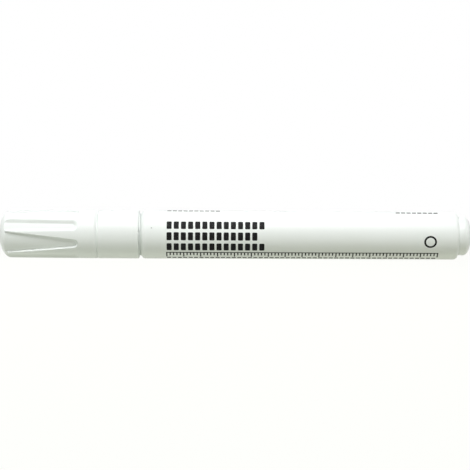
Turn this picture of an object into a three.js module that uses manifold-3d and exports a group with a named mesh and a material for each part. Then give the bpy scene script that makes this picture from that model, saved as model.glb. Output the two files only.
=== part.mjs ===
// Washable liquid chalk marker with a fluted cap, a pump valve and a mixing ball.
// Sizes are in millimetres. The marker lies on its side: its axis runs along X at
// the height of its own radius, the closed end of the cap towards -X, the rear
// plug towards +X, and Z is up. The origin is under the middle of its length.
//
// Every turned piece is drawn beside its axis as (radius, along). "along" is 0 at
// the barrel's front edge, negative towards the cap and positive towards the plug.
import * as THREE from 'three';
import { mergeVertices } from 'three/addons/utils/BufferGeometryUtils.js';
import Module from 'manifold-3d';

const wasm = await Module();
wasm.setup();

// Facets round the skin, round the inner pieces and round the smallest ones.
const skinSides = 48;
const innerSides = 32;
const smallSides = 24;

// Gaps between pieces that hold each other, and between pieces that slide.
const seatGap = 0.2;
const slideGap = 0.3;

// Barrel: a straight tube that thins a little to the rear, rounded at both ends.
const bodyRadius = 7.2;
const rearRadius = 7.05;
const barrelLength = 94.2;
const mouthWall = 1.4;
const reservoirWall = 1.7;
const frontRound = { radial: 1.25, axial: 1.3, fullness: 1.4 };
const rearRound = { radial: 1.0, axial: 1.2, fullness: 2 };

// Rear plug: a cup pressed into the barrel. Its head stands out behind, flares a
// little and ends in a dome with a small flat disc.
const plugHeadRadius = 5.7;
const plugHeadLength = 3.9;
const plugInsertLength = 9.7;
const plugWall = 1.3;
const plugEndWall = 1.8;
const plugFlare = 0.1;
const plugDiscRadius = 1.5;
const plugDome = { length: 2.2, fullness: 2 };
const plugRib = { height: 0.08, length: 0.8, spacing: 2.6, count: 2 };

// Nib: a pressed fibre rod with a bullet point.
const nibRadius = 2.5;
const nibLength = 23.4;
const nibPointLength = 4.6;
const nibReach = 6.2;
const nibTravel = 1.5;

// Front section: carries the nib in a snout, and the cap on its collar.
const snoutLength = 11;
const snoutWall = 0.95;
const coneLength = 3.3;
const coneRise = 0.9;
const collarLength = 13.6;
const collarWall = 1.2;
const insertLength = 9.8;
const chamberDepth = 22.7;
const clickBead = { height: 0.12, length: 1.6, fromBarrel: 6.4 };

// Cap: the fluted shell and the soft seal inside it.
const lipGap = 0.4;
const capEndWall = 1.6;
const capEndEdge = 0.8;
const capDraft = 0.13;
const capDraftLength = 28;
const capStepRoom = 0.8;
const capDiscRadius = 1.5;
const capDome = { length: 3.3, fullness: 1.8 };
const grooveFromEnd = 29;
const groove = { depth: 0.22, width: 0.4 };
const lipEdge = 0.15;
const sealWall = 0.8;
const sealFloor = 0.9;
const sealEndEdge = 0.8;
const sealGrip = 8.4;
const tipRoom = 5;

// Flutes: four wide ones that narrow to a point between steep walls, and four nearly
// straight ones between them with gentle walls. Half widths are degrees at the skin,
// wall slopes are degrees from square to it, and "up" is the first one's place, in
// degrees above the side that faces -Y.
const fluteCount = 4;
const wideFlute = {
  up: -24.1, endHalf: 31.8, tipHalf: 10.9, length: 23.7, depth: 0.68, edgeDepth: 0.58, wallSlope: 16,
};
const slimFlute = {
  up: wideFlute.up + 180 / fluteCount, endHalf: 16.6, tipHalf: 13.4, length: 23.7,
  depth: 0.7, edgeDepth: 0.6, wallSlope: 54,
};

// Valve: the body with its seat, the stem that the nib pushes, its spring, the
// disc that holds the spring, and the ring that seals the body to the barrel.
const stemRadius = 1.1;
const stemHeadRadius = 2.6;
const stemHeadLength = 1.0;
const stemReach = 4.6;
const stemTail = 1.6;
const seatHoleRadius = 1.6;
const seatWall = 1.2;
const seatBevel = 0.6;
const valveWall = 0.7;
const flangeThickness = 1.0;
const gasketThickness = 0.8;
const retainerThickness = 1.4;
const retainerInset = 2.6;
const portRadius = 0.5;
const portCount = 4;
const springWire = 0.5;
const springCoilRadius = 1.75;
const springTurns = 6;
const springStepsPerTurn = 8;
const springSides = 5;

// Mixing ball: lies on the floor of the reservoir.
const ballRadius = 2.5;
const ballFromValve = 17;
const ballGap = 0.1;

// Radii that follow from the sizes above.
const mouthRadius = bodyRadius - mouthWall;
const reservoirRadius = bodyRadius - reservoirWall;
const plugBoreRadius = plugHeadRadius + seatGap;
const plugInsertRadius = plugBoreRadius - slideGap;
const collarRadius = mouthRadius - seatGap;
const capBoreRadius = collarRadius + slideGap;
const chamberRadius = collarRadius - collarWall;
const nibBoreRadius = nibRadius + seatGap;
const snoutRadius = nibBoreRadius + snoutWall;
const sealBoreRadius = snoutRadius + slideGap;
const sealRadius = sealBoreRadius + sealWall;
const capNeckRadius = sealRadius + slideGap;
const valveRadius = chamberRadius - slideGap;
const valveBoreRadius = valveRadius - valveWall;
const flangeRadius = mouthRadius - slideGap;
const retainerRadius = valveBoreRadius - seatGap;
const retainerHoleRadius = stemRadius + seatGap;

// Places along the axis that follow from the sizes above.
const collarFront = -collarLength;
const snoutBack = collarFront - coneLength;
const snoutFront = snoutBack - snoutLength;
const nibTip = snoutFront - nibReach;
const nibBack = nibTip + nibLength;
const sealFloorInside = nibTip - tipRoom;
const sealEnd = sealFloorInside - sealFloor;
const sealMouth = snoutFront + sealGrip;
const capEndInside = sealEnd - slideGap;
const capEnd = capEndInside - capEndWall;
const capLip = -lipGap;
const capStep = collarFront - capStepRoom;
const chamberFront = insertLength - chamberDepth;
const gasketFront = insertLength + seatGap;
const flangeFront = gasketFront + gasketThickness + seatGap;
const flangeBack = flangeFront + flangeThickness;
const mouthDepth = flangeBack + seatGap;
const stemFront = nibBack + slideGap;
const stemHeadFront = stemFront + nibTravel + stemReach;
const stemConeLength = stemHeadRadius - stemRadius;
const stemHeadBack = stemHeadFront + stemConeLength + stemHeadLength;
const bevelGap = seatGap * Math.SQRT2;
const seatBack = stemHeadFront + seatHoleRadius - stemRadius - bevelGap + seatBevel;
const seatFront = seatBack - seatWall;
const retainerBack = flangeBack - retainerInset;
const retainerFront = retainerBack - retainerThickness;
const stemBack = retainerBack + stemTail;
const plugFront = barrelLength - plugInsertLength;
const plugLedge = plugFront - seatGap;
const plugEnd = barrelLength + plugHeadLength;

// A point of a drawn profile: how far from the axis, and how far along it.
function at(radius, along) {
  return new THREE.Vector2(radius, along);
}

// A rounded corner between two points of a profile, from 1, a straight chamfer, to
// 2, a quarter of an oval. With fromSkin it leaves the first point along the axis;
// otherwise it leaves it square to the axis.
function rounding(from, to, fromSkin, fullness = 2, steps = 4) {
  return Array.from({ length: steps + 1 }, (_, i) => {
    const turn = (i / steps) * Math.PI / 2;
    const rise = Math.sin(turn) ** (2 / fullness);
    const fall = 1 - Math.cos(turn) ** (2 / fullness);
    const [radial, axial] = fromSkin ? [fall, rise] : [rise, fall];
    return at(from.x + (to.x - from.x) * radial, from.y + (to.y - from.y) * axial);
  });
}

// Only positions are kept, with shared corners merged into a closed skin.
function closedSkin(geometry) {
  geometry.deleteAttribute('normal');
  geometry.deleteAttribute('uv');
  return mergeVertices(geometry, 1e-4);
}

// A turned solid. Radii are measured across the flats, and a flat faces down.
function turned(profile, sides) {
  const flat = Math.PI / sides;
  const corners = profile.map((point) => at(point.x / Math.cos(flat), point.y));
  return closedSkin(new THREE.LatheGeometry(corners, sides, flat));
}

// A turned tube or ring, whose profile runs round its wall and closes on itself.
function turnedRing(profile, sides) {
  return turned([...profile, profile[0]], sides);
}

function asSolid(geometry) {
  const vertProperties = new Float32Array(geometry.attributes.position.array);
  const triVerts = new Uint32Array(geometry.index.array);
  return new wasm.Manifold(new wasm.Mesh({ numProp: 3, vertProperties, triVerts }));
}

function asGeometry(solid) {
  const mesh = solid.getMesh();
  const geometry = new THREE.BufferGeometry();
  geometry.setAttribute('position', new THREE.BufferAttribute(mesh.vertProperties, 3));
  geometry.setIndex(new THREE.BufferAttribute(mesh.triVerts, 1));
  return geometry;
}

// The cap's outer radius: it draws in a little towards the closed end.
function capRadiusAt(along) {
  const fromEnd = Math.min(Math.max((along - capEnd) / capDraftLength, 0), 1);
  return bodyRadius - capDraft * (1 - fromEnd);
}

// What one flute takes away: a box bent round the axis. Its floor is a little
// deeper in the middle, its walls lean outwards and its tip is round. It runs out
// past the closed end.
function fluteCutter(flute, place) {
  const overrun = 1;
  const straightSteps = 2;
  const tipSteps = 5;
  const acrossSteps = 6;
  const axialSteps = straightSteps + tipSteps;
  const degree = Math.PI / 180;
  const lean = Math.tan(flute.wallSlope * degree);
  const endHalf = flute.endHalf * degree * bodyRadius;
  const tipHalf = flute.tipHalf * degree * bodyRadius;
  const tipStart = flute.length - tipHalf;
  const middle = (flute.up + place * 360 / fluteCount) * degree;
  const box = new THREE.BoxGeometry(1, 1, 1, axialSteps, acrossSteps, 1);
  const position = box.attributes.position;
  for (let i = 0; i < position.count; i += 1) {
    const step = Math.round((position.getX(i) + 0.5) * axialSteps);
    const across = position.getY(i) * 2;
    const outside = position.getZ(i) > 0;
    const offset = outside ? overrun * lean : -flute.edgeDepth * lean;
    let fromEnd = [-overrun, 0, tipStart][Math.min(step, straightSteps)];
    let half = endHalf + (tipHalf - endHalf) * Math.max(fromEnd, 0) / tipStart + offset;
    if (step > straightSteps) {
      const turn = 85 * degree * (step - straightSteps) / tipSteps;
      fromEnd += (tipHalf + offset) * Math.sin(turn);
      half = (tipHalf + offset) * Math.cos(turn);
    }
    const skin = capRadiusAt(capEnd + fromEnd);
    const floor = skin - flute.depth + (flute.depth - flute.edgeDepth) * across ** 2;
    const radius = outside ? skin + overrun : floor;
    const angle = middle + across * half / bodyRadius;
    position.setXYZ(i, radius * Math.cos(angle), capEnd + fromEnd, radius * Math.sin(angle));
  }
  return asSolid(closedSkin(box));
}

function capShell() {
  const grooveFront = capEnd + grooveFromEnd;
  const grooveBack = grooveFront + groove.width;
  const grooveFloor = capRadiusAt(grooveFront) - groove.depth;
  const domeBack = capEnd + capDome.length;
  const domeRim = at(capRadiusAt(domeBack), domeBack);
  const body = turned([
    at(0, capEnd),
    ...rounding(at(capDiscRadius, capEnd), domeRim, false, capDome.fullness, 7),
    at(capRadiusAt(grooveFront), grooveFront),
    at(grooveFloor, (grooveFront + grooveBack) / 2),
    at(capRadiusAt(grooveBack), grooveBack),
    at(bodyRadius, capLip - lipEdge),
    at(bodyRadius - lipEdge, capLip),
    at(capBoreRadius, capLip),
    at(capBoreRadius, capStep + capBoreRadius - capNeckRadius),
    at(capNeckRadius, capStep),
    at(capNeckRadius, capEndInside + capEndEdge),
    at(capNeckRadius - capEndEdge, capEndInside),
    at(0, capEndInside),
  ], skinSides);
  let shell = asSolid(body);
  for (let place = 0; place < fluteCount; place += 1) {
    shell = shell.subtract(fluteCutter(wideFlute, place));
    shell = shell.subtract(fluteCutter(slimFlute, place));
  }
  return asGeometry(shell);
}

function capInnerSeal() {
  const leadIn = sealWall / 2;
  return turned([
    at(0, sealEnd),
    at(sealRadius - sealEndEdge, sealEnd),
    at(sealRadius, sealEnd + sealEndEdge),
    at(sealRadius, sealMouth),
    at(sealBoreRadius + leadIn, sealMouth),
    at(sealBoreRadius, sealMouth - leadIn),
    at(sealBoreRadius, sealFloorInside),
    at(0, sealFloorInside),
  ], innerSides);
}

function barrel() {
  const frontRim = bodyRadius - frontRound.radial;
  const rearRim = rearRadius - rearRound.radial;
  const rearStart = barrelLength - rearRound.axial;
  return turnedRing([
    ...rounding(at(frontRim, 0), at(bodyRadius, frontRound.axial), false, frontRound.fullness),
    ...rounding(at(rearRadius, rearStart), at(rearRim, barrelLength), true, rearRound.fullness),
    at(plugBoreRadius, barrelLength),
    at(plugBoreRadius, plugLedge),
    at(reservoirRadius, plugLedge),
    at(reservoirRadius, mouthDepth),
    at(mouthRadius, mouthDepth),
    at(mouthRadius, 0),
  ], skinSides);
}

function rearPlug() {
  const ribs = Array.from({ length: plugRib.count }, (_, i) => {
    const start = plugFront + plugRib.spacing * (i + 1) - plugRib.length;
    return [
      at(plugInsertRadius, start),
      at(plugInsertRadius + plugRib.height, start + plugRib.length / 2),
      at(plugInsertRadius, start + plugRib.length),
    ];
  }).flat();
  const headStart = barrelLength - rearRound.axial;
  const domeRim = at(plugHeadRadius + plugFlare, plugEnd - plugDome.length);
  return turned([
    at(0, plugEnd - plugEndWall),
    at(plugInsertRadius - plugWall, plugEnd - plugEndWall),
    at(plugInsertRadius - plugWall, plugFront),
    at(plugInsertRadius, plugFront),
    ...ribs,
    at(plugInsertRadius, headStart),
    at(plugHeadRadius, headStart),
    at(plugHeadRadius, barrelLength),
    ...rounding(domeRim, at(plugDiscRadius, plugEnd), true, plugDome.fullness, 6),
    at(0, plugEnd),
  ], skinSides);
}

function frontSection() {
  const beadMiddle = -clickBead.fromBarrel;
  const beadHalf = clickBead.length / 2;
  const collarEdge = 0.5;
  const snoutEdge = 0.3;
  return turnedRing([
    at(nibBoreRadius, snoutFront),
    at(snoutRadius - snoutEdge, snoutFront),
    at(snoutRadius, snoutFront + snoutEdge),
    at(snoutRadius, snoutBack),
    at(snoutRadius + coneRise, collarFront),
    at(collarRadius - collarEdge, collarFront),
    at(collarRadius, collarFront + collarEdge),
    at(collarRadius, beadMiddle - beadHalf),
    at(collarRadius + clickBead.height, beadMiddle),
    at(collarRadius, beadMiddle + beadHalf),
    at(collarRadius, insertLength),
    at(chamberRadius, insertLength),
    at(chamberRadius, chamberFront),
    at(nibBoreRadius, chamberFront),
  ], skinSides);
}

function nib() {
  const backEdge = 0.3;
  return turned([
    ...rounding(at(0, nibTip), at(nibRadius, nibTip + nibPointLength), false, 2, 7),
    at(nibRadius, nibBack - backEdge),
    at(nibRadius - backEdge, nibBack),
    at(0, nibBack),
  ], innerSides);
}

function valveBody() {
  return turnedRing([
    at(seatHoleRadius, seatFront),
    at(valveRadius, seatFront),
    at(valveRadius, flangeFront),
    at(flangeRadius, flangeFront),
    at(flangeRadius, flangeBack),
    at(valveBoreRadius, flangeBack),
    at(valveBoreRadius, seatBack),
    at(seatHoleRadius + seatBevel, seatBack),
    at(seatHoleRadius, seatBack - seatBevel),
  ], innerSides);
}

function valveGasket() {
  const back = gasketFront + gasketThickness;
  return turnedRing([
    at(chamberRadius, gasketFront),
    at(flangeRadius, gasketFront),
    at(flangeRadius, back),
    at(chamberRadius, back),
  ], innerSides);
}

function valveStem() {
  const tipEdge = 0.3;
  return turned([
    at(0, stemFront),
    at(stemRadius - tipEdge, stemFront),
    at(stemRadius, stemFront + tipEdge),
    at(stemRadius, stemHeadFront),
    at(stemHeadRadius, stemHeadFront + stemConeLength),
    at(stemHeadRadius, stemHeadBack),
    at(stemRadius, stemHeadBack),
    at(stemRadius, stemBack - tipEdge),
    at(stemRadius - tipEdge, stemBack),
    at(0, stemBack),
  ], smallSides);
}

// The spring's centre line: a coil that keeps clear of both its seats.
class Coil extends THREE.Curve {
  constructor(start, end) {
    super();
    this.start = start;
    this.end = end;
  }

  getPoint(share, target = new THREE.Vector3()) {
    const turn = share * springTurns * 2 * Math.PI;
    const along = this.start + (this.end - this.start) * share;
    return target.set(springCoilRadius * Math.cos(turn), along, springCoilRadius * Math.sin(turn));
  }
}

// The least gap between the wire's surfaces, measured between points of the
// centre line that lie more than half a turn apart.
function leastCoilGap(coil) {
  const points = coil.getPoints(springTurns * 24);
  let least = Infinity;
  points.forEach((point, i) => {
    for (let j = i + 12; j < points.length; j += 1) {
      least = Math.min(least, point.distanceTo(points[j]) - springWire);
    }
  });
  return least;
}

function valveSpring() {
  const clear = seatGap + springWire / 2;
  const coil = new Coil(stemHeadBack + clear, retainerFront - clear);
  console.log(`valve spring: least gap between its turns ${leastCoilGap(coil).toFixed(2)} mm`);
  const section = new THREE.Shape(Array.from({ length: springSides }, (_, i) => {
    const turn = i * 2 * Math.PI / springSides;
    return at(springWire / 2 * Math.cos(turn), springWire / 2 * Math.sin(turn));
  }));
  return closedSkin(new THREE.ExtrudeGeometry(section, {
    steps: springTurns * springStepsPerTurn,
    bevelEnabled: false,
    extrudePath: coil,
  }));
}

// A flat disc with a hole for the stem and ports that let the ink through.
function springRetainer() {
  const disc = new THREE.Shape();
  disc.absarc(0, 0, retainerRadius, 0, 2 * Math.PI);
  const stemHole = new THREE.Path();
  stemHole.absarc(0, 0, retainerHoleRadius, 0, 2 * Math.PI, true);
  disc.holes.push(stemHole);
  const portCentre = (retainerHoleRadius + retainerRadius) / 2;
  for (let i = 0; i < portCount; i += 1) {
    const turn = (i + 0.5) * 2 * Math.PI / portCount;
    const port = new THREE.Path();
    port.absarc(portCentre * Math.cos(turn), portCentre * Math.sin(turn), portRadius, 0, 2 * Math.PI, true);
    disc.holes.push(port);
  }
  const plate = new THREE.ExtrudeGeometry(disc, {
    depth: retainerThickness,
    bevelEnabled: false,
    curveSegments: 12,
  });
  plate.rotateX(-Math.PI / 2);
  plate.translate(0, retainerFront, 0);
  return closedSkin(plate);
}

function mixingBall() {
  const ball = closedSkin(new THREE.SphereGeometry(ballRadius, smallSides, smallSides / 2));
  ball.translate(0, mouthDepth + ballFromValve, -(reservoirRadius - ballRadius - ballGap));
  return ball;
}

const marker = new THREE.Group();
marker.rotation.z = -Math.PI / 2;
marker.position.set(-(capEnd + plugEnd) / 2, 0, bodyRadius);

function addPiece(name, geometry, color, roughness, metalness = 0) {
  const material = new THREE.MeshStandardMaterial({ color, roughness, metalness });
  const mesh = new THREE.Mesh(geometry, material);
  mesh.name = name;
  marker.add(mesh);
}

addPiece('cap_shell', capShell(), 0xf4f6f2, 0.35);
addPiece('cap_inner_seal', capInnerSeal(), 0xe9ece6, 0.5);
addPiece('barrel', barrel(), 0xf3f5f1, 0.4);
addPiece('rear_plug', rearPlug(), 0xf4f6f2, 0.35);
addPiece('front_section', frontSection(), 0xf2f4f0, 0.35);
addPiece('nib', nib(), 0xfaf8f2, 0.9);
addPiece('valve_body', valveBody(), 0xe6e8e2, 0.45);
addPiece('valve_gasket', valveGasket(), 0x3a3a3a, 0.7);
addPiece('valve_stem', valveStem(), 0xd8dcda, 0.4);
addPiece('valve_spring', valveSpring(), 0xb9bcc0, 0.3, 1);
addPiece('spring_retainer', springRetainer(), 0xe6e8e2, 0.45);
addPiece('mixing_ball', mixingBall(), 0xc4c6c9, 0.15, 1);

export default marker;
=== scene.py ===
"""A white liquid chalk marker lying on its side, capped, as a plain product picture shows it."""
import math

import bmesh
import bpy
from mathutils import Matrix, Vector


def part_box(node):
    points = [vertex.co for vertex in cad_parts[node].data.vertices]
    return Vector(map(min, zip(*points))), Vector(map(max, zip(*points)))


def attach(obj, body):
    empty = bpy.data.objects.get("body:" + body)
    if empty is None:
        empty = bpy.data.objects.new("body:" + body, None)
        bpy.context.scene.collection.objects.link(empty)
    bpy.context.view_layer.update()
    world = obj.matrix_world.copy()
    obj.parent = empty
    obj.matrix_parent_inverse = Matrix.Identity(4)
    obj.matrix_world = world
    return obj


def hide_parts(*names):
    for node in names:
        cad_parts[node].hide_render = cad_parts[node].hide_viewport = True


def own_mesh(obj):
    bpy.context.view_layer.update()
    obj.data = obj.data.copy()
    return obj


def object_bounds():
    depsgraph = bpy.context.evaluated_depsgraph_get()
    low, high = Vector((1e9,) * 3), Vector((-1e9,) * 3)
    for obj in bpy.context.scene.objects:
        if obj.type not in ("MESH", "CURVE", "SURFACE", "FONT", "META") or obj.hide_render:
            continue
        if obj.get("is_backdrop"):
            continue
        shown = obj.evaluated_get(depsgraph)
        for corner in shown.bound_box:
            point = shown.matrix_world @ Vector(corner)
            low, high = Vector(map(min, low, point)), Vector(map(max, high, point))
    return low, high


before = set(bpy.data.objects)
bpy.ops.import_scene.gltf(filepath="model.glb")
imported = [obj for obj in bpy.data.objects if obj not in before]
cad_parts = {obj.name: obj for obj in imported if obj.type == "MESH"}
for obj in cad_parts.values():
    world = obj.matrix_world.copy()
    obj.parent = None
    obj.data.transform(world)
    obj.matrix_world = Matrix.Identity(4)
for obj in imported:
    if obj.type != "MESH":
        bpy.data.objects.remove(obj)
cad_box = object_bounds()

# The camera stands level with the marker's axis, half a metre away, and is turned
# a third of a degree about its own line of sight. The marker just fills the frame.
MM = 0.001
picture_px, marker_px = 470, 469.45
marker_length = cad_box[1].x - cad_box[0].x
axis_height = cad_box[1].z / 2
camera_distance, camera_aside, camera_below = 0.48, 0.025 * MM, 0.07 * MM
camera_roll = math.radians(-0.3)
nearest_seen, sensor_width = 0.01, 36
seen_width = marker_length * picture_px / marker_px
camera_data = bpy.data.cameras.new("picture_camera")
camera_data.sensor_width = sensor_width
camera_data.lens = camera_distance * sensor_width / seen_width
camera_data.clip_start = nearest_seen
camera = bpy.data.objects.new("picture_camera", camera_data)
camera.location = (-camera_aside, -camera_distance, axis_height - camera_below)
camera.rotation_euler = (math.pi / 2, camera_roll, 0)
bpy.context.scene.collection.objects.link(camera)
bpy.context.scene.camera = camera


# Barrel: a tube of white polypropylene, rounded at both ends and a little thinner to
# the rear. It is injection moulded, so its skin is satin, and printed in one black ink.
class Field:
    """A value that varies over a piece: a node's output, which sums are written with."""

    def __init__(self, tree, socket=None):
        self.tree = tree
        self.socket = socket

    def node(self, kind, settings=None, inputs=None, output=0):
        """Adds a node: first its settings, then the values or links of its sockets."""
        node = self.tree.nodes.new(kind)
        for name, value in (settings or {}).items():
            setattr(node, name, value)
        for key, value in (inputs or {}).items():
            if isinstance(value, Field):
                self.tree.links.new(value.socket, node.inputs[key])
            else:
                node.inputs[key].default_value = value
        return Field(self.tree, node.outputs[output])

    def parts(self):
        """The three numbers of a place."""
        split = self.node("ShaderNodeSeparateXYZ", {}, {0: self})
        return [Field(self.tree, socket) for socket in split.socket.node.outputs]

    def maths(self, operation, *operands):
        """One sum or comparison of values."""
        return self.node("ShaderNodeMath", {"operation": operation}, dict(enumerate(operands)))

    def __add__(self, other):
        return self.maths("ADD", self, other)

    def __radd__(self, other):
        return self.maths("ADD", other, self)

    def __sub__(self, other):
        return self.maths("SUBTRACT", self, other)

    def __rsub__(self, other):
        return self.maths("SUBTRACT", other, self)

    def __mul__(self, other):
        return self.maths("MULTIPLY", self, other)

    def __rmul__(self, other):
        return self.maths("MULTIPLY", other, self)

    def __truediv__(self, other):
        return self.maths("DIVIDE", self, other)

    def __rtruediv__(self, other):
        return self.maths("DIVIDE", other, self)

    def __neg__(self):
        return self.maths("MULTIPLY", self, -1.0)

    def __abs__(self):
        return self.maths("ABSOLUTE", self)

    def __round__(self):
        return self.maths("ROUND", self)

    def at_least(self, other):
        return self.maths("MAXIMUM", self, other)

    def at_most(self, other):
        return self.maths("MINIMUM", self, other)

    def hypotenuse(self, other):
        """The straight distance that two distances at right angles make."""
        return self.maths("SQRT", self * self + other * other)

    def ramp(self, low, high):
        """0 below low, 1 above high, straight between them."""
        return self.node("ShaderNodeMapRange", {}, {"Value": self, "From Min": low, "From Max": high})


def new_material(name):
    """A material with a bare principled shader, and the field to build on."""
    material = bpy.data.materials.new(name)
    material.use_nodes = True
    shader = material.node_tree.nodes["Principled BSDF"]
    return material, shader, Field(material.node_tree)


def noise(field, per_metre, detail, stretch=(1.0, 1.0, 1.0), roughness=0.5):
    """Noise from 0 to 1 on a piece's own coordinates, with so many features to a metre."""
    place = field.node("ShaderNodeTexCoord", output="Object")
    place = field.node("ShaderNodeMapping", {}, {"Vector": place, "Scale": stretch})
    return field.node("ShaderNodeTexNoise", {}, {
        "Vector": place, "Scale": per_metre, "Detail": detail, "Roughness": roughness})


def mixed(field, share, first, second):
    """A colour between two colours, given as tuples or fields."""
    colours = [(*c, 1.0) if isinstance(c, tuple) else c for c in (first, second)]
    return field.node("ShaderNodeMix", {"data_type": "RGBA"}, {
        0: share, 6: colours[0], 7: colours[1]}, output=2)


def bumped(field, height, distance, strength):
    """A normal bent by a height field, with distance in metres."""
    return field.node("ShaderNodeBump", {}, {
        "Height": height, "Distance": distance, "Strength": strength})


def connect(field, shader, **sockets):
    """Links fields to the shader's sockets, named with underscores for spaces."""
    for name, value in sockets.items():
        field.tree.links.new(value.socket, shader.inputs[name.replace("_", " ")])


def show(field, shader, end="Material Output"):
    """Makes a mixed shader the one that the material shows, or the world."""
    field.tree.links.new(shader.socket, field.tree.nodes[end].inputs["Surface"])


white_plastic, aged_plastic = (0.85, 0.885, 0.872), (0.83, 0.866, 0.845)
polypropylene_ior = 1.49


def moulded_plastic(name):
    """Moulded white polypropylene: faint clouds of age, a fine pebble, and flow marks and
    scuffs that run along the piece."""
    material, shader, field = new_material(name)
    cloud = noise(field, per_metre=90.0, detail=2.0)
    flow = noise(field, per_metre=420.0, detail=4.0, stretch=(0.25, 1.0, 1.0))
    pebble = noise(field, per_metre=2600.0, detail=2.0)
    scuff = noise(field, per_metre=700.0, detail=6.0, stretch=(0.12, 1.0, 1.0), roughness=0.7)
    scuff = scuff.ramp(0.62, 0.74)
    connect(field, shader,
            Base_Color=mixed(field, cloud.ramp(0.35, 0.75) * 0.5, white_plastic, aged_plastic),
            Roughness=0.4 + flow * 0.1 + scuff * 0.12,
            Normal=bumped(field, pebble + flow * 0.6 - scuff * 0.3, 0.02 * MM, 0.55))
    shader.inputs["IOR"].default_value = polypropylene_ior
    return material, shader, field


# The print is laid out on the developed skin, in millimetres: "along" runs from the middle
# of the marker to the rear, and "around" runs up from the side that faces the camera.
body_radius = axis_height / MM
print_start = -20.15
ink_edge = 0.02
bold_block, fine_block = (2.1, 1.5, 0.3), (1.6, 1.2, 0.1)  # pitch, length and corner
print_rows = [  # the row's place up, its start, its count, its block's height, and its block
    (2.84, 0.0, 14, 2.4, bold_block),
    (-0.54, 0.0, 13, 2.4, bold_block),
    (-3.87, 0.0, 14, 2.4, bold_block),
    (-8.95, 0.0, 50, 0.8, fine_block),
    (9.85, 0.0, 10, 1.15, fine_block),
    (9.02, 67.8, 8, 0.85, fine_block),
]


def past(value, place=0.0):
    """0 before a place and 1 past it, with the soft edge that the ink has."""
    return value.ramp(place - ink_edge, place + ink_edge)


def block(along, around, middle, half, corner):
    """1 inside a rectangle with round corners, 0 outside."""
    off_along = (abs(along - middle[0]) - (half[0] - corner)).at_least(0.0)
    off_around = (abs(around - middle[1]) - (half[1] - corner)).at_least(0.0)
    return 1.0 - past(off_along.hypotenuse(off_around) - corner)


def block_row(along, around, row):
    """A row of equal blocks."""
    up, start, count, height, (pitch, length, corner) = row
    first = print_start + start + length / 2
    nearest = round((along - first) / pitch).at_least(0.0).at_most(count - 1.0)
    return block(along - nearest * pitch, around, (first, up), (length / 2, height / 2), corner)


def scale_marks(along, around):
    """A fine scale without numbers: a line each millimetre, a longer one each fifth, and a
    rule along their tops."""
    scale_top, scale_length, line_half = -6.05, 80.0, 0.18
    short_line, long_line, rule_rise = 1.3, 2.1, 0.1
    step = along - print_start
    nearest = round(step)
    fives = nearest / 5.0
    off_fives = abs(fives - round(fives))
    line_length = short_line + (1.0 - off_fives.ramp(0.01, 0.02)) * (long_line - short_line)
    below_top = scale_top - around
    lines = ((1.0 - past(abs(step - nearest), line_half))
             * past(below_top) * (1.0 - past(below_top - line_length))
             * past(step, -line_half) * (1.0 - past(step, scale_length + line_half)))
    rule = block(along, around, (print_start + scale_length / 2, scale_top + rule_rise),
                 (scale_length / 2 + line_half, line_half), ink_edge)
    return lines.at_least(rule)


def barrel_print(field):
    """Where the ink is: the rows, the scale, a circle and one small grey speck."""
    x, y, z = field.node("ShaderNodeTexCoord", output="Object").parts()
    along = x / MM
    around = field.maths("ARCTAN2", z - axis_height, -y) * body_radius
    ink = scale_marks(along, around)
    for row in print_rows:
        ink = ink.at_least(block_row(along, around, row))
    circle_middle, circle_radius, circle_half = (57.5, -1.93), 1.6, 0.28
    off_middle = (along - circle_middle[0]).hypotenuse(around - circle_middle[1])
    ink = ink.at_least(1.0 - past(abs(off_middle - circle_radius) - circle_half))
    worn = noise(field, per_metre=3800.0, detail=3.0).ramp(0.2, 0.42) * 0.1 + 0.9

    speck_middle, speck_radius, speck_strength = (-24.6, 1.93), 0.2, 0.42
    off_speck = (along - speck_middle[0]).hypotenuse(around - speck_middle[1]) - speck_radius
    speck = (1.0 - off_speck.ramp(-0.08, 0.1)) * speck_strength
    return (ink * worn).at_least(speck)


def printed_plastic():
    """The barrel's plastic under its black ink."""
    material, shader, field = moulded_plastic("printed_white_polypropylene")
    black = field.node("ShaderNodeBsdfPrincipled", {}, {
        "Base Color": (0.004, 0.004, 0.0045, 1.0), "Roughness": 0.55, "Specular IOR Level": 0.12})
    plastic = Field(field.tree, shader.outputs[0])
    show(field, field.node("ShaderNodeMixShader", {}, {0: barrel_print(field), 1: plastic, 2: black}))
    return material


def softened(corners, default=0.12):
    """An outline with its corners rounded. A corner is (along, radius) or has its own
    rounding as a third number, in millimetres."""
    corner_steps, most_of_an_edge = 4, 0.45
    outline = []
    for i, (along, radius, *own) in enumerate(corners):
        size = own[0] if own else default
        if i in (0, len(corners) - 1) or size == 0:
            outline.append((along, radius))
            continue
        arms = []
        for other in (corners[i - 1], corners[i + 1]):
            edge = math.hypot(other[0] - along, other[1] - radius)
            share = min(size, most_of_an_edge * edge) / edge
            arms.append((along + (other[0] - along) * share, radius + (other[1] - radius) * share))
        for step in range(corner_steps + 1):
            t = step / corner_steps
            near, middle, far = (1 - t) ** 2, 2 * t * (1 - t), t ** 2
            outline.append((near * arms[0][0] + middle * along + far * arms[1][0],
                            near * arms[0][1] + middle * radius + far * arms[1][1]))
    return outline


def rounding(start, end, leaves_along, fullness=2.0, steps=12):
    """Points of a rounded corner between two (along, radius) points, from 1, a straight
    chamfer, to 2, a quarter of an oval. It leaves the first point along the axis, or else
    square to it."""
    points = []
    for step in range(steps + 1):
        turn = step / steps * math.pi / 2
        rise = math.sin(turn) ** (2 / fullness)
        fall = 1 - math.cos(turn) ** (2 / fullness)
        axial, radial = (rise, fall) if leaves_along else (fall, rise)
        points.append((start[0] + (end[0] - start[0]) * axial,
                       start[1] + (end[1] - start[1]) * radial, 0))
    return points


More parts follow.
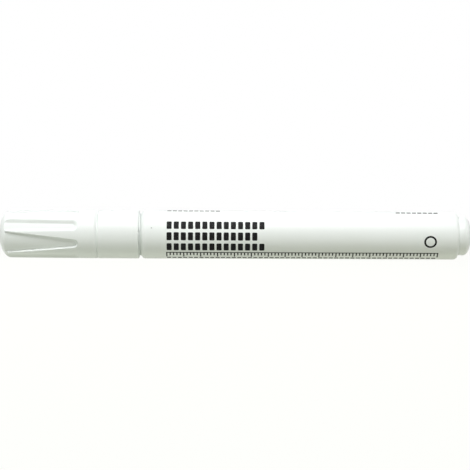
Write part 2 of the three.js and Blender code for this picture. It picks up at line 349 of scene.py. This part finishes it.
def finished_mesh(mesh):
    """Merges doubled points and turns all faces outwards, smooth."""
    shell = bmesh.new()
    shell.from_mesh(mesh)
    bmesh.ops.remove_doubles(shell, verts=shell.verts, dist=1e-7)
    bmesh.ops.recalc_face_normals(shell, faces=shell.faces)
    for face in shell.faces:
        face.smooth = True
    shell.to_mesh(mesh)
    shell.free()
    return mesh


def placed(name, mesh, material):
    """An object for a finished mesh, with its material."""
    piece = bpy.data.objects.new(name, mesh)
    bpy.context.scene.collection.objects.link(piece)
    mesh.materials.clear()
    mesh.materials.append(material)
    return piece


def turned(name, outline, material, segments=128):
    """A solid turned about the marker's axis from (along, radius) points in millimetres.
    An outline that starts off the axis closes on itself."""
    points, faces, rings = [], [], []
    for along, radius in outline:
        rings.append(len(points))
        for step in range(segments):
            turn = step / segments * 2 * math.pi
            points.append((along * MM, -radius * MM * math.cos(turn),
                           axis_height + radius * MM * math.sin(turn)))
    pairs = list(zip(rings, rings[1:]))
    if outline[0][1] > 0:
        pairs.append((rings[-1], rings[0]))
    for near, far in pairs:
        for step in range(segments):
            after = (step + 1) % segments
            faces.append((near + step, near + after, far + after, far + step))
    mesh = bpy.data.meshes.new(name)
    mesh.from_pydata(points, [], faces)
    return placed(name, finished_mesh(mesh), material)


def reach(node):
    """A node's first and last place along the axis, in millimetres."""
    low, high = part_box(node)
    return low.x / MM, high.x / MM


def stands_for(piece, node, body):
    """The piece takes a node's place and rides on its body."""
    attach(piece, body)
    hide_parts(node)


barrel_front, barrel_back = reach("barrel")
barrel_rear_radius = 7.05
front_fall, front_curve, front_fullness = 1.25, 1.3, 1.4
rear_fall, rear_curve = 1.0, 1.2
mouth_radius, reservoir_radius, plug_bore_radius = 5.8, 5.5, 5.9
mouth_depth, plug_depth, bore_rounding = 12.2, 9.9, 0.06
barrel_tube = turned("barrel_tube", softened([
    *rounding((barrel_front, body_radius - front_fall), (barrel_front + front_curve, body_radius),
              False, front_fullness),
    *rounding((barrel_back - rear_curve, barrel_rear_radius),
              (barrel_back, barrel_rear_radius - rear_fall), True),
    (barrel_back, plug_bore_radius, bore_rounding),
    (barrel_back - plug_depth, plug_bore_radius),
    (barrel_back - plug_depth, reservoir_radius),
    (barrel_front + mouth_depth, reservoir_radius),
    (barrel_front + mouth_depth, mouth_radius),
    (barrel_front, mouth_radius, bore_rounding),
]), printed_plastic(), segments=192)
stands_for(barrel_tube, "barrel", "barrel_body")


# Rear plug: a polypropylene cup pressed into the barrel. Two fine ribs seal it, its
# head stands out with a well rounded edge, and its end shows the gate it was moulded by.
plug_front, plug_back = reach("rear_plug")
plug_head_radius, plug_insert_radius, plug_inside_radius = 5.7, 5.6, 4.3
plug_flare, plug_disc_radius, plug_dome, plug_end_wall = 0.1, 1.5, 2.2, 1.8
head_start_inside = 1.2
rib_pitch, rib_half, rib_height = 2.6, 0.4, 0.08
gate_radius, gate_depth, plug_gate_bevel = 0.55, 0.12, 0.1
cap_plastic = moulded_plastic("gloss_white_polypropylene")[0]
plug_ribs = []
for rib in (1, 2):
    rib_middle = plug_front + rib_pitch * rib - rib_half
    plug_ribs += [(rib_middle - rib_half, plug_insert_radius),
                  (rib_middle, plug_insert_radius + rib_height, 0.3),
                  (rib_middle + rib_half, plug_insert_radius)]
plug = turned("rear_plug_cup", softened([
    (plug_back - plug_end_wall, 0),
    (plug_back - plug_end_wall, plug_inside_radius, 0.4),
    (plug_front, plug_inside_radius),
    (plug_front, plug_insert_radius, 0.25),
    *plug_ribs,
    (barrel_back - head_start_inside, plug_insert_radius, 0),
    (barrel_back - head_start_inside, plug_head_radius, 0.05),
    (barrel_back, plug_head_radius, 0.4),
    *rounding((plug_back - plug_dome, plug_head_radius + plug_flare),
              (plug_back, plug_disc_radius), True, steps=18),
    (plug_back, gate_radius + plug_gate_bevel, 0.08),
    (plug_back - gate_depth, gate_radius, 0.05),
    (plug_back - gate_depth, 0),
]), cap_plastic)
stands_for(plug, "rear_plug", "barrel_body")


# Front section: the polypropylene nib holder, pressed into the barrel as far as a thin
# stop ring, which also meets the cap's lip. Its collar has the bead that the cap clicks
# over, and its cone narrows to the snout.
front_start, front_end = reach("front_section")
snout_radius, cone_radius, collar_radius = 3.65, 4.55, 5.6
nib_bore_radius, chamber_radius = 2.7, 4.4
snout_length, cone_length, chamber_length = 11.0, 3.3, 22.7
snout_end = front_start + snout_length
collar_start = snout_end + cone_length
chamber_start = front_end - chamber_length
bead_middle, bead_half, bead_height = barrel_front - 6.4, 0.8, 0.12
stop_ring_radius, stop_ring_front, stop_ring_back = 6.25, barrel_front - 0.36, barrel_front - 0.02
front_section = turned("nib_holder", softened([
    (front_start, nib_bore_radius, 0.1),
    (front_start, snout_radius, 0.3),
    (snout_end, snout_radius, 0.8),
    (collar_start, cone_radius, 0.3),
    (collar_start, collar_radius, 0.5),
    (bead_middle - bead_half, collar_radius, 0.4),
    (bead_middle, collar_radius + bead_height, 0.5),
    (bead_middle + bead_half, collar_radius, 0.4),
    (stop_ring_front, collar_radius, 0.02),
    (stop_ring_front, stop_ring_radius, 0.05),
    (stop_ring_back, stop_ring_radius, 0.02),
    (stop_ring_back, collar_radius, 0.02),
    (front_end, collar_radius, 0.3),
    (front_end, chamber_radius),
    (chamber_start, chamber_radius, 0.4),
    (chamber_start, nib_bore_radius),
]), cap_plastic)
stands_for(front_section, "front_section", "barrel_body")


# Nib: a rod of pressed white polyester fibre, ground to a bullet point. The fibres
# run along it, so its side is finely streaked and its point shows their cut ends.
def fibre_material():
    material, shader, field = new_material("pressed_white_fibre")
    streak = noise(field, per_metre=5200.0, detail=3.0, stretch=(0.05, 1.0, 1.0))
    speckle = noise(field, per_metre=6500.0, detail=2.0)
    damp = noise(field, per_metre=300.0, detail=3.0)
    colour = mixed(field, streak.ramp(0.3, 0.7) * 0.6, (0.9, 0.895, 0.868), (0.78, 0.77, 0.735))
    connect(field, shader,
            Base_Color=mixed(field, damp.ramp(0.5, 0.8) * 0.25, colour, (0.82, 0.83, 0.8)),
            Roughness=0.86 + speckle * 0.1,
            Normal=bumped(field, streak + speckle * 0.7, 0.06 * MM, 0.8))
    shader.inputs["Sheen Weight"].default_value = 0.25
    return material


nib_start, nib_end = reach("nib")
nib_radius, nib_point = 2.5, 4.6
nib = turned("fibre_nib", softened([
    *rounding((nib_start, 0), (nib_start + nib_point, nib_radius), False, steps=20),
    (nib_end, nib_radius, 0.3),
    (nib_end, 0),
]), fibre_material(), segments=96)
stands_for(nib, "nib", "nib_body")


# Valve: an acetal sleeve with a bevelled seat, pressed into the barrel's mouth over a
# flat rubber ring, and the stem that the nib pushes off its seat.
def acetal_material():
    material, shader, field = new_material("natural_acetal")
    cloud = noise(field, per_metre=160.0, detail=2.0)
    pebble = noise(field, per_metre=3000.0, detail=2.0)
    connect(field, shader,
            Base_Color=mixed(field, cloud.ramp(0.3, 0.8), (0.74, 0.76, 0.72), (0.69, 0.71, 0.66)),
            Roughness=0.42 + pebble * 0.1,
            Normal=bumped(field, pebble, 0.02 * MM, 0.5))
    return material


def rubber_material():
    material, shader, field = new_material("black_nitrile_rubber")
    cloud = noise(field, per_metre=240.0, detail=3.0)
    pebble = noise(field, per_metre=4200.0, detail=3.0)
    connect(field, shader,
            Base_Color=mixed(field, cloud.ramp(0.3, 0.7), (0.022, 0.022, 0.023), (0.045, 0.044, 0.043)),
            Roughness=0.66 + pebble * 0.16,
            Normal=bumped(field, pebble, 0.03 * MM, 0.7))
    return material


acetal = acetal_material()
valve_start, valve_end = reach("valve_body")
valve_radius, valve_bore_radius, flange_radius = 4.1, 3.4, 5.5
seat_hole_radius, seat_bevel, seat_wall, flange_thickness = 1.6, 0.6, 1.2, 1.0
seat_end, flange_start = valve_start + seat_wall, valve_end - flange_thickness
valve_body = turned("valve_sleeve", softened([
    (valve_start, seat_hole_radius, 0.1),
    (valve_start, valve_radius, 0.25),
    (flange_start, valve_radius, 0.1),
    (flange_start, flange_radius, 0.1),
    (valve_end, flange_radius, 0.15),
    (valve_end, valve_bore_radius, 0.15),
    (seat_end, valve_bore_radius, 0.2),
    (seat_end, seat_hole_radius + seat_bevel, 0.05),
    (seat_end - seat_bevel, seat_hole_radius, 0.05),
]), acetal, segments=96)
stands_for(valve_body, "valve_body", "barrel_body")

gasket_start, gasket_end = reach("valve_gasket")
gasket = turned("sealing_ring", softened([
    ((gasket_start + gasket_end) / 2, chamber_radius),
    (gasket_start, chamber_radius),
    (gasket_start, flange_radius),
    (gasket_end, flange_radius),
    (gasket_end, chamber_radius),
], default=0.18), rubber_material(), segments=96)
stands_for(gasket, "valve_gasket", "barrel_body")

stem_start, stem_end = reach("valve_stem")
stem_radius, rod_length, stem_head_radius, stem_head_rim = 1.1, 6.1, 2.6, 1.0
head_start = stem_start + rod_length
head_full = head_start + stem_head_radius - stem_radius
head_end = head_full + stem_head_rim
stem = turned("valve_rod", softened([
    (stem_start, 0),
    (stem_start, stem_radius, 0.35),
    (head_start, stem_radius, 0.1),
    (head_full, stem_head_radius, 0.15),
    (head_end, stem_head_radius, 0.15),
    (head_end, stem_radius, 0.1),
    (stem_end, stem_radius, 0.35),
    (stem_end, 0),
]), acetal, segments=64)
stands_for(stem, "valve_stem", "stem_body")


# Cap shell: white polypropylene with eight flutes for the fingers, four that narrow to
# a point and four nearly straight ones between them. They run out through the rounded
# shoulder of the closed end. A fine ring marks where two mould halves met.
cap_start, cap_lip = reach("cap_shell")
cap_length = cap_lip - cap_start
cap_bore_radius, cap_neck_radius, cap_draft, draft_length = 5.9, 5.05, 0.13, 28.0
cap_disc_radius, cap_dome, cap_dome_fullness, cap_gate_bevel = 1.5, 3.3, 1.8, 0.12
ring_place, ring_half, ring_depth = 29.2, 0.18, 0.26
lip_rounding, bore_bevel, floor_bevel = 0.35, 0.25, 0.8
bore_end, neck_start, cap_floor = 28.35, 27.5, 1.6
flute_reach = 23.7
# Each kind of flute: its half angles at the closed end and at its tip, its depths in the
# middle and at the edge in millimetres, and its walls' lean in degrees.
flutes = {"Wide": (31.8, 10.9, 0.68, 0.58, 16), "Slim": (16.6, 13.4, 0.7, 0.6, 54)}
# Bands from a wide flute's middle to a slim one's: floor, wall and rim, the land between,
# and again rim, wall and floor. Each has its start, its end and its number of columns.
bands = [(0.0, 0.28, 8), (0.28, 0.44, 6), (0.44, 0.48, 2), (0.48, 0.6, 5),
         (0.6, 0.64, 2), (0.64, 0.8, 6), (0.8, 1.0, 6)]


def cap_radius(from_end):
    return body_radius - cap_draft * (1 - min(from_end / draft_length, 1))


def evenly(start, end, step):
    """Places from start up to but not including end, about a step apart."""
    count = max(round((end - start) / step), 1)
    return [start + (end - start) * i / count for i in range(count)]


def cap_outline():
    """The cap's outline from the middle of its closed end, round its lip and back inside.
    Its rows of points stand closest where the flutes end."""
    disc_step, flute_step, tip_step, ring_step, lip_step, dome_steps = 0.5, 0.6, 0.07, 1.2, 1.5, 44
    disc_from, tips_from, tips_to = gate_radius + 0.4, flute_reach - 1.8, flute_reach + 0.6
    ring_from, ring_to, lip_from = ring_place - ring_half - 0.05, ring_place + 0.5, cap_length - 0.3
    bore_rows, neck_rows, floor_row = (36.0, 32.0), (20.0, 10.0), 2.0

    points = [(gate_depth, 0), (gate_depth, gate_radius), (0, gate_radius + cap_gate_bevel)]
    points += [(0, radius) for radius in evenly(disc_from, cap_disc_radius, disc_step)]
    dome = rounding((0, cap_disc_radius), (cap_dome, cap_radius(cap_dome)),
                    False, cap_dome_fullness, dome_steps)
    points += [place[:2] for place in dome[:-1]]
    rows = (evenly(cap_dome, tips_from, flute_step) + evenly(tips_from, tips_to, tip_step)
            + evenly(tips_to, ring_from, ring_step))
    points += [(place, cap_radius(place)) for place in rows]
    for share in (step / 4 for step in range(-4, 5)):
        points.append((ring_place + share * ring_half,
                       cap_radius(ring_place) - ring_depth * math.cos(share * math.pi / 2)))
    points += [(place, body_radius) for place in evenly(ring_to, lip_from, lip_step)]
    lip = rounding((cap_length - lip_rounding, body_radius), (cap_length, body_radius - lip_rounding),
                   True, steps=6)
    points += [place[:2] for place in lip]
    points += [(cap_length, cap_bore_radius + bore_bevel), (cap_length - bore_bevel, cap_bore_radius)]
    points += [(place, cap_bore_radius) for place in (*bore_rows, bore_end)]
    points += [(place, cap_neck_radius) for place in (neck_start, *neck_rows, cap_floor + floor_bevel)]
    points += [(cap_floor, radius) for radius in (cap_neck_radius - floor_bevel, floor_row, 0)]
    return points


def flat_pattern():
    """The cap's skin laid out flat: along it, around it in eighths, and its radius as height."""
    shares = [start + (end - start) * i / count for start, end, count in bands for i in range(count)]
    around = []
    for eighth in range(8):
        if eighth % 2:
            around += [eighth + 1 - share for share in reversed(shares + [1.0])][:-1]
        else:
            around += [eighth + share for share in shares]
    around.append(8.0)
    outline = cap_outline()
    points = [(along, turn, radius) for along, radius in outline for turn in around]
    width = len(around)
    faces = [(row * width + i, row * width + i + 1, (row + 1) * width + i + 1, (row + 1) * width + i)
             for row in range(len(outline) - 1) for i in range(width - 1)]
    mesh = bpy.data.meshes.new("cap_flat_pattern")
    mesh.from_pydata(points, [], faces)
    return mesh


def sized_tree(name, sizes):
    """A new Geometry Nodes tree with the named sizes as inputs. Gives the field to build on
    and all the inputs by name."""
    tree = bpy.data.node_groups.new(name, "GeometryNodeTree")
    sockets = [("Geometry", "Geometry"), *((size, "Float") for size in sizes), ("Material", "Material")]
    for title, kind in sockets:
        tree.interface.new_socket(title, in_out="INPUT", socket_type="NodeSocket" + kind)
    tree.interface.new_socket("Geometry", in_out="OUTPUT", socket_type="NodeSocketGeometry")
    group_in = tree.nodes.new("NodeGroupInput")
    return Field(tree), {title: Field(tree, group_in.outputs[title]) for title, _ in sockets}


def around_axis(field, given, along, turn, radius):
    """A place in metres, from a place along the axis, a turn about it and a radius."""
    return field.node("ShaderNodeCombineXYZ", {}, {
        0: along * MM,
        1: radius * field.maths("COSINE", turn) * -MM,
        2: (given["Axis height"] + radius * field.maths("SINE", turn)) * MM})


def finished_tree(field, given, geometry):
    """Ends a tree: what it made becomes real and takes the material."""
    real = field.node("GeometryNodeRealizeInstances", {}, {"Geometry": geometry})
    painted = field.node("GeometryNodeSetMaterial", {}, {"Geometry": real, "Material": given["Material"]})
    group_out = field.tree.nodes.new("NodeGroupOutput")
    field.tree.links.new(painted.socket, group_out.inputs["Geometry"])
    return field.tree


def flute_depth(field, given, kind, along, off_middle):
    """How deep one kind of flute cuts, in millimetres: its floor, or its leaning wall where
    that is less. It is below zero outside the flute."""
    foot_rounding = 0.08
    end_half, tip_half, depth, edge_depth, lean = (
        given[kind + part] for part in (" end half", " tip half", " depth", " edge depth", " lean"))
    tip_start = given["Flute length"] - tip_half
    half = end_half + (tip_half - end_half) * (along / tip_start).at_most(1.0).at_least(0.0)
    past_tip = (along - tip_start).at_least(0.0)
    inside = half - past_tip.hypotenuse(off_middle)
    across = (off_middle / half).at_most(1.0)
    floor = depth - (depth - edge_depth) * across * across
    return field.maths("SMOOTH_MIN", floor, inside / lean, foot_rounding)


def flute_tree(sizes):
    """Wraps the flat pattern round the marker's axis and cuts the flutes into it."""
    field, given = sized_tree("fluted_cap", sizes)
    along, turn, skin = field.node("GeometryNodeInputPosition").parts()
    radius, wide_half, slim_half = (given[name] for name in ("Radius", "Wide tip half", "Slim tip half"))
    narrowing = (1.0 - along / (given["Flute length"] - wide_half)).at_most(1.0).at_least(0.0)
    wide_rim = wide_half + (given["Wide end half"] - wide_half) * narrowing
    slim_rim = slim_half + (given["Slim end half"] - slim_half) * narrowing
    pitch = radius * (math.pi / 4)
    wall_share, rim, least_land = 1.3, 0.16, 0.02
    wide_wall, slim_wall = (
        given[kind + " edge depth"] * given[kind + " lean"] * wall_share for kind in ("Wide", "Slim"))
    land = (pitch - wide_rim - slim_rim - 2 * rim).at_least(least_land)

    share = field.maths("PINGPONG", turn, 1.0)
    widths = [wide_rim - wide_wall, wide_wall, rim, land, rim, slim_wall, slim_rim - slim_wall]
    raw = sum(width * share.ramp(start, end) for width, (start, end, _) in zip(widths, bands))
    from_wide = raw * pitch / (wide_rim + slim_rim + land + 2 * rim)
    wide = flute_depth(field, given, "Wide", along, from_wide)
    slim = flute_depth(field, given, "Slim", along, pitch - from_wide)
    drafted = radius - given["Draft"] * (1.0 - along / given["Draft length"]).at_least(0.0)
    cut = drafted - wide.at_least(slim)
    fluted = field.maths("SMOOTH_MIN", skin, cut, given["Edge rounding"])

    nearest = round(turn / 2.0)
    side = field.maths("SIGN", turn / 2.0 - nearest)
    angle = given["First wide flute"] + nearest * (math.pi / 2) + side * from_wide / radius
    wrapped = around_axis(field, given, given["Cap start"] + along, angle, fluted)
    skin_mesh = field.node("GeometryNodeSetPosition", {}, {
        "Geometry": given["Geometry"], "Position": wrapped})
    closed = field.node("GeometryNodeMergeByDistance", {}, {"Geometry": skin_mesh, "Distance": 1e-6})
    return finished_tree(field, given, closed)


def grown(name, mesh, tree, values, material):
    """Runs a tree on a mesh with the named values and returns the plain result."""
    source = bpy.data.objects.new(name + "_source", mesh)
    bpy.context.scene.collection.objects.link(source)
    modifier = source.modifiers.new("grow", "NODES")
    modifier.node_group = tree
    identifiers = {item.name: item.identifier for item in tree.interface.items_tree
                   if item.in_out == "INPUT"}
    for key, value in {**values, "Material": material}.items():
        modifier[identifiers[key]] = value
    graph = bpy.context.evaluated_depsgraph_get()
    result = bpy.data.meshes.new_from_object(source.evaluated_get(graph), depsgraph=graph)
    result.name = name
    source.modifiers.remove(modifier)
    bpy.data.objects.remove(source)
    return placed(name, finished_mesh(result), material)


cap_sizes = {
    "Radius": body_radius,
    "Flute length": flute_reach,
    "Edge rounding": 0.08,
    "First wide flute": math.radians(-24.1),
    "Draft": cap_draft,
    "Draft length": draft_length,
    "Cap start": cap_start,
    "Axis height": axis_height / MM,
}
for kind, (end_angle, tip_angle, middle_depth, edge_depth, wall_lean) in flutes.items():
    cap_sizes[kind + " end half"] = math.radians(end_angle) * body_radius
    cap_sizes[kind + " tip half"] = math.radians(tip_angle) * body_radius
    cap_sizes[kind + " depth"] = middle_depth
    cap_sizes[kind + " edge depth"] = edge_depth
    cap_sizes[kind + " lean"] = math.tan(math.radians(wall_lean))
cap_shell = grown("fluted_cap", flat_pattern(), flute_tree(cap_sizes), cap_sizes, cap_plastic)
stands_for(cap_shell, "cap_shell", "cap_body")


# Inner seal: a soft polyethylene cup that the cap holds over the nib. Its mouth grips
# the snout, so that the ink in the nib can't dry.
def soft_material():
    material, shader, field = new_material("natural_polyethylene")
    cloud = noise(field, per_metre=130.0, detail=2.0)
    pebble = noise(field, per_metre=2200.0, detail=3.0)
    connect(field, shader,
            Base_Color=mixed(field, cloud.ramp(0.3, 0.8), (0.8, 0.815, 0.79), (0.74, 0.755, 0.72)),
            Roughness=0.5 + pebble * 0.12,
            Normal=bumped(field, pebble, 0.03 * MM, 0.5))
    return material


seal_start, seal_end = reach("cap_inner_seal")
seal_radius, seal_bore_radius, seal_floor = 4.75, 3.95, 0.9
seal_bevel, seal_mouth_bevel = 0.8, 0.4
seal = turned("nib_seal", softened([
    (seal_start, 0),
    (seal_start, seal_radius - seal_bevel, 0.3),
    (seal_start + seal_bevel, seal_radius, 0.3),
    (seal_end, seal_radius, 0.15),
    (seal_end, seal_bore_radius + seal_mouth_bevel, 0.1),
    (seal_end - seal_mouth_bevel, seal_bore_radius, 0.2),
    (seal_start + seal_floor, seal_bore_radius, 0.5),
    (seal_start + seal_floor, 0),
]), soft_material(), segments=96)
stands_for(seal, "cap_inner_seal", "cap_body")


# Spring retainer: a moulded acetal disc pressed into the valve sleeve. It holds the end
# of the spring and guides the stem, and four ports let the ink past.
def add_circle(curve, middle, radius, count):
    """Adds a closed round outline to a flat curve, from sizes in millimetres."""
    spline = curve.splines.new("POLY")
    spline.points.add(count - 1)
    for i, point in enumerate(spline.points):
        turn = i / count * 2 * math.pi
        point.co = ((middle[0] + radius * math.cos(turn)) * MM,
                    (middle[1] + radius * math.sin(turn)) * MM, 0, 1)
    spline.use_cyclic_u = True


retainer_start, retainer_end = reach("spring_retainer")
retainer_radius, stem_hole_radius, port_radius, retainer_edge = 3.2, 1.3, 0.5, 0.12
port_distance = (retainer_radius + stem_hole_radius) / 2
plate = bpy.data.curves.new("retainer_outline", "CURVE")
plate.dimensions = "2D"
plate.fill_mode = "BOTH"
plate.extrude = ((retainer_end - retainer_start) / 2 - retainer_edge) * MM
plate.bevel_depth = retainer_edge * MM
plate.bevel_resolution = 3
plate.offset = -retainer_edge * MM
add_circle(plate, (0, 0), retainer_radius, 96)
add_circle(plate, (0, 0), stem_hole_radius, 48)
for port in range(4):
    port_turn = (port + 0.5) * math.pi / 2
    port_middle = (port_distance * math.cos(port_turn), port_distance * math.sin(port_turn))
    add_circle(plate, port_middle, port_radius, 32)
plate_object = bpy.data.objects.new("retainer_outline", plate)
bpy.context.scene.collection.objects.link(plate_object)
graph = bpy.context.evaluated_depsgraph_get()
disc = bpy.data.meshes.new_from_object(plate_object.evaluated_get(graph), depsgraph=graph)
bpy.data.objects.remove(plate_object)
disc.transform(Matrix.Translation(((retainer_start + retainer_end) / 2 * MM, 0, axis_height))
               @ Matrix.Rotation(math.pi / 2, 4, "Y"))
retainer = placed("ported_disc", finished_mesh(disc), acetal)
squarely_along = 0.999
for face in retainer.data.polygons:
    face.use_smooth = abs(face.normal.x) < squarely_along
stands_for(retainer, "spring_retainer", "barrel_body")


# Valve spring: six turns of drawn stainless wire, between the valve's head and the
# retainer. The real spring is pressed shorter when the stem opens the valve.
def steel_material(name, colour, roughness):
    material, shader, field = new_material(name)
    grain = noise(field, per_metre=2400.0, detail=4.0)
    smear = noise(field, per_metre=350.0, detail=3.0)
    connect(field, shader,
            Base_Color=mixed(field, smear.ramp(0.35, 0.75), colour, tuple(c * 0.86 for c in colour)),
            Roughness=roughness + grain * 0.12,
            Normal=bumped(field, grain, 0.01 * MM, 0.4))
    shader.inputs["Metallic"].default_value = 1.0
    return material


def spring_tree(sizes):
    """Bends a row of points into a coil about the marker's axis and gives it a round wire."""
    field, given = sized_tree("coiled_spring", sizes)
    wire_sides = 14
    steps = given["Turns"] * given["Points to a turn"]
    row = field.node("GeometryNodeMeshLine", {}, {"Count": steps + 1.0})
    index = field.node("GeometryNodeInputIndex")
    turn = index / given["Points to a turn"] * (2 * math.pi)
    along = given["Start"] + (given["End"] - given["Start"]) * (index / steps)
    coil = field.node("GeometryNodeSetPosition", {}, {
        "Geometry": row, "Position": around_axis(field, given, along, turn, given["Coil radius"])})
    path = field.node("GeometryNodeMeshToCurve", {}, {"Mesh": coil})
    section = field.node("GeometryNodeCurvePrimitiveCircle", {}, {
        "Resolution": wire_sides, "Radius": given["Wire radius"] * MM})
    wire = field.node("GeometryNodeCurveToMesh", {}, {
        "Curve": path, "Profile Curve": section, "Fill Caps": True})
    return finished_tree(field, given, wire)


spring_start, spring_end = reach("valve_spring")
spring_length = spring_end - spring_start
spring_radius, wire_radius, valve_lift = 1.75, 0.25, 1.5
spring_sizes = {
    "Turns": 6.0,
    "Points to a turn": 36.0,
    "Coil radius": spring_radius,
    "Wire radius": wire_radius,
    "Start": spring_start + wire_radius,
    "End": spring_end - wire_radius,
    "Axis height": axis_height / MM,
}
spring = grown("wound_spring", bpy.data.meshes.new("spring_seed"), spring_tree(spring_sizes), spring_sizes,
               steel_material("stainless_spring_wire", (0.6, 0.6, 0.61), 0.24))
stands_for(spring, "valve_spring", "barrel_body")
spring_end * MM
(spring_length - valve_lift) / spring_length
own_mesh(spring)


# Mixing ball: a ground stainless ball, loose in the reservoir. It stirs the settled
# chalk when the marker is shaken.
ball_low, ball_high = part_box("mixing_ball")
ball_shape = bmesh.new()
bmesh.ops.create_icosphere(ball_shape, subdivisions=5, radius=(ball_high.z - ball_low.z) / 2)
bmesh.ops.translate(ball_shape, verts=ball_shape.verts, vec=(ball_low + ball_high) / 2)
ball_mesh = bpy.data.meshes.new("ground_ball")
ball_shape.to_mesh(ball_mesh)
ball_shape.free()
ball = placed("ground_ball", finished_mesh(ball_mesh),
              steel_material("ground_stainless_ball", (0.62, 0.62, 0.63), 0.12))
stands_for(ball, "mixing_ball", "ball_body")


# Studio: a pale floor with a soft shadow and a white surround. The floor also glows as
# painted light on the marker's underside: brighter in a narrow strip beneath the marker,
# and dimmer and yellower towards the plug end. The main soft light is in front and above,
# a weaker one is above and behind, and one lights each end. The camera and glossy surfaces
# see the surround as plain white.
def seen_white(field):
    """1 for rays from the camera, and for mirrored and refracted ones."""
    camera_ray, glossy_ray, refracted_ray = (
        field.node("ShaderNodeLightPath", output=name)
        for name in ("Is Camera Ray", "Is Glossy Ray", "Is Transmission Ray"))
    return camera_ray.at_least(glossy_ray).at_least(refracted_ray)


white = (1.0, 1.0, 1.0, 1.0)
floor_half, floor_drop, floor_white_share, floor_white_strength = 4.0, 0.02 * MM, 0.7, 1.17
# The floor's glow is painted light. Its colour fades from the cap end to the plug end, and a strip beneath
# the marker glows brighter to light the marker's underside.
cap_end_glow, plug_end_glow = (0.94, 0.962, 0.832), (0.86, 0.862, 0.71)
glow_turns_from, glow_turns_to = -0.06, 0.07
glow_under_marker, glow_elsewhere, strip_half, strip_fades_to = 0.51, 0.412, 0.003, 0.008
floor_material, floor_matt, floor_field = new_material("studio_floor")
floor_matt.inputs["Base Color"].default_value = (0.19, 0.2, 0.175, 1.0)
floor_matt.inputs["Roughness"].default_value = 1.0
floor_matt.inputs["Specular IOR Level"].default_value = 0.0
along_floor, across_floor, _ = floor_field.node("ShaderNodeTexCoord", output="Object").parts()
glow_colour = mixed(floor_field, along_floor.ramp(glow_turns_from, glow_turns_to),
                    cap_end_glow, plug_end_glow)
near_glow, far_glow = (
    floor_field.node("ShaderNodeEmission", {}, {"Color": glow_colour, "Strength": strength})
    for strength in (glow_under_marker, glow_elsewhere))
# Painted pool of light: a stronger glow in the strip right beneath the marker.
floor_glow = floor_field.node("ShaderNodeMixShader", {}, {
    0: abs(across_floor).ramp(strip_half, strip_fades_to), 1: near_glow, 2: far_glow})
lit_floor = floor_field.node("ShaderNodeAddShader", {}, {
    0: Field(floor_field.tree, floor_matt.outputs[0]), 1: floor_glow})
white_floor = floor_field.node("ShaderNodeEmission", {}, {"Color": white, "Strength": floor_white_strength})
show(floor_field, floor_field.node("ShaderNodeMixShader", {}, {
    0: seen_white(floor_field) * floor_white_share, 1: lit_floor, 2: white_floor}))
floor_mesh = bpy.data.meshes.new("studio_floor")
floor_mesh.from_pydata([(x * floor_half, y * floor_half, -floor_drop)
                        for x, y in ((-1, -1), (1, -1), (1, 1), (-1, 1))], [], [(0, 1, 2, 3)])
floor = placed("studio_floor", floor_mesh, floor_material)
floor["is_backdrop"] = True

surround_strength = 0.12
world = bpy.data.worlds.new("studio_surround")
bpy.context.scene.world = world
world.use_nodes = True
world_field = Field(world.node_tree)
dim = world.node_tree.nodes["Background"]
dim.inputs["Color"].default_value = white
dim.inputs["Strength"].default_value = surround_strength
bright = world_field.node("ShaderNodeBackground", {}, {"Color": white, "Strength": 1.0})
surround = world_field.node("ShaderNodeMixShader", {}, {
    0: seen_white(world_field), 1: Field(world_field.tree, dim.outputs[0]), 2: bright})
show(world_field, surround, "World Output")

# Each light is a square that faces the marker: its place and size in metres, and its watts.
soft_lights = [
    ("top_softbox", (0.0, -0.353, 0.493), 0.255, 3.05),
    ("back_softbox", (0.0, 0.35, 0.5), 0.7, 0.6),
    ("cap_end_softbox", (-0.5, -0.1, 0.2), 0.25, 0.75),
    ("plug_end_softbox", (0.5, -0.05, 0.185), 0.25, 0.55),
]
for name, place, size, watts in soft_lights:
    lamp = bpy.data.lights.new(name, "AREA")
    lamp.shape = "SQUARE"
    lamp.size = size
    lamp.energy = watts
    light = bpy.data.objects.new(name, lamp)
    light.location = place
    from_marker = light.location - Vector((0, 0, axis_height))
    light.rotation_mode = "QUATERNION"
    light.rotation_quaternion = from_marker.to_track_quat("Z", "Y")
    bpy.context.scene.collection.objects.link(light)

bpy.context.scene.view_settings.view_transform = "Standard"

boxes = {"cad": cad_box, "visual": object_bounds()}
{name: [list(low), list(high)] for name, (low, high) in boxes.items()}
